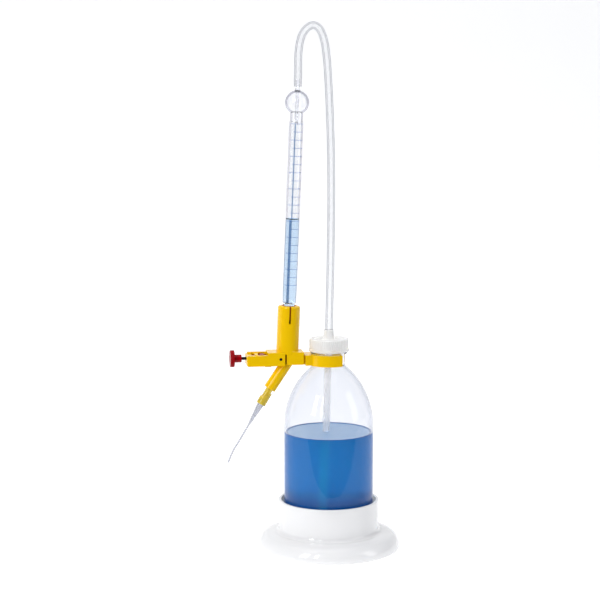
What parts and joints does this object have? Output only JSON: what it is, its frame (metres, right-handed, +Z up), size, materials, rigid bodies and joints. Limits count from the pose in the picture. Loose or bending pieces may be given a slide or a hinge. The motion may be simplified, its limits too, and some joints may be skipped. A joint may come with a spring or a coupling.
{
  "type": "automatic zero burette",
  "caption": "Automatic zero burette on a squeeze bottle in a flared base, with neck clip, pinch valve, red adjusting knob, drawn-out tip and a hose arching to the bulb.",
  "frame": {"origin": "middle of the base's underside, on the bottle's axis", "axes": "+Z up along the bottle; the valve arm points along -X; the graduated side of the burette faces -Y"},
  "size_m": [0.1475, 0.1215, 0.4453],
  "materials": {
    "white_plastic": "satin",
    "clear_plastic": "clear",
    "titrant": "clear blue",
    "natural_plastic": "translucent",
    "clear_tubing": "clear",
    "yellow_plastic": "gloss",
    "red_plastic": "gloss",
    "amber_plastic": "translucent",
    "glass": "clear",
    "enamel": "satin",
    "dark_steel": "blackened",
    "spring_steel": "bright",
    "brass": "machined",
    "nylon": "natural",
    "amber_rubber": "matt"
  },
  "bodies": {
    "base": {"base_foot": "white_plastic"},
    "bottle": {"bottle": "clear_plastic", "bottle_titrant": "titrant", "riser_tube": "natural_plastic"},
    "cap_liner": {"cap_liner": "nylon"},
    "cap": {"screw_cap": "natural_plastic"},
    "holder": {"neck_clip": "yellow_plastic", "burette_holder": "yellow_plastic", "valve_housing": "yellow_plastic", "anvil_pin": "dark_steel", "pinch_anvil": "nylon", "outlet_spout": "yellow_plastic", "outlet_nipple": "amber_plastic", "tip_sleeve": "amber_plastic", "dispensing_tip": "clear_plastic", "pinch_hose": "clear_tubing", "burette_tube": "glass", "burette_fill_tube": "glass", "burette_titrant": "titrant", "burette_bush": "amber_rubber", "reading_stripe": "enamel", "supply_hose": "clear_tubing", "return_spring": "spring_steel"},
    "slider": {"pinch_slider": "red_plastic", "threaded_insert": "brass"},
    "thrust_pad": {"thrust_pad": "nylon"},
    "knob": {"adjusting_knob": "red_plastic", "metering_screw": "dark_steel"}
  },
  "joints": [
    {"name": "bottle_lift", "type": "slide", "parent": "base", "child": "bottle", "axis": [0, 0, 1], "range_m": [0, 0.06]},
    {"name": "liner_lift", "type": "slide", "parent": "bottle", "child": "cap_liner", "axis": [0, 0, 1], "range_m": [0, 0.00525]},
    {"name": "cap_turn", "type": "hinge", "parent": "cap_liner", "child": "cap", "pos_m": [0, 0, 0.17], "axis": [0, 0, 1], "range_deg": [0, 630]},
    {"name": "holder_swivel", "type": "hinge", "parent": "bottle", "child": "holder", "pos_m": [0, 0, 0.163], "axis": [0, 0, 1], "continuous": true},
    {"name": "slider_push", "type": "slide", "parent": "holder", "child": "slider", "axis": [1, 0, 0], "range_m": [0, 0.0022], "stiffness_N_per_m": 800, "springref_m": -0.002, "deforming": ["return_spring"]},
    {"name": "screw_advance", "type": "slide", "parent": "slider", "child": "thrust_pad", "axis": [1, 0, 0], "range_m": [-0.001, 0.001]},
    {"name": "knob_turn", "type": "hinge", "parent": "thrust_pad", "child": "knob", "pos_m": [-0.078, 0, 0.1648], "axis": [1, 0, 0], "range_deg": [-720, 720]}
  ],
  "couplings": [
    {"joint": "liner_lift", "follows": "cap_turn", "m_per_rad": 0.00047746},
    {"joint": "knob_turn", "follows": "screw_advance", "rad_per_m": 12566}
  ]
}
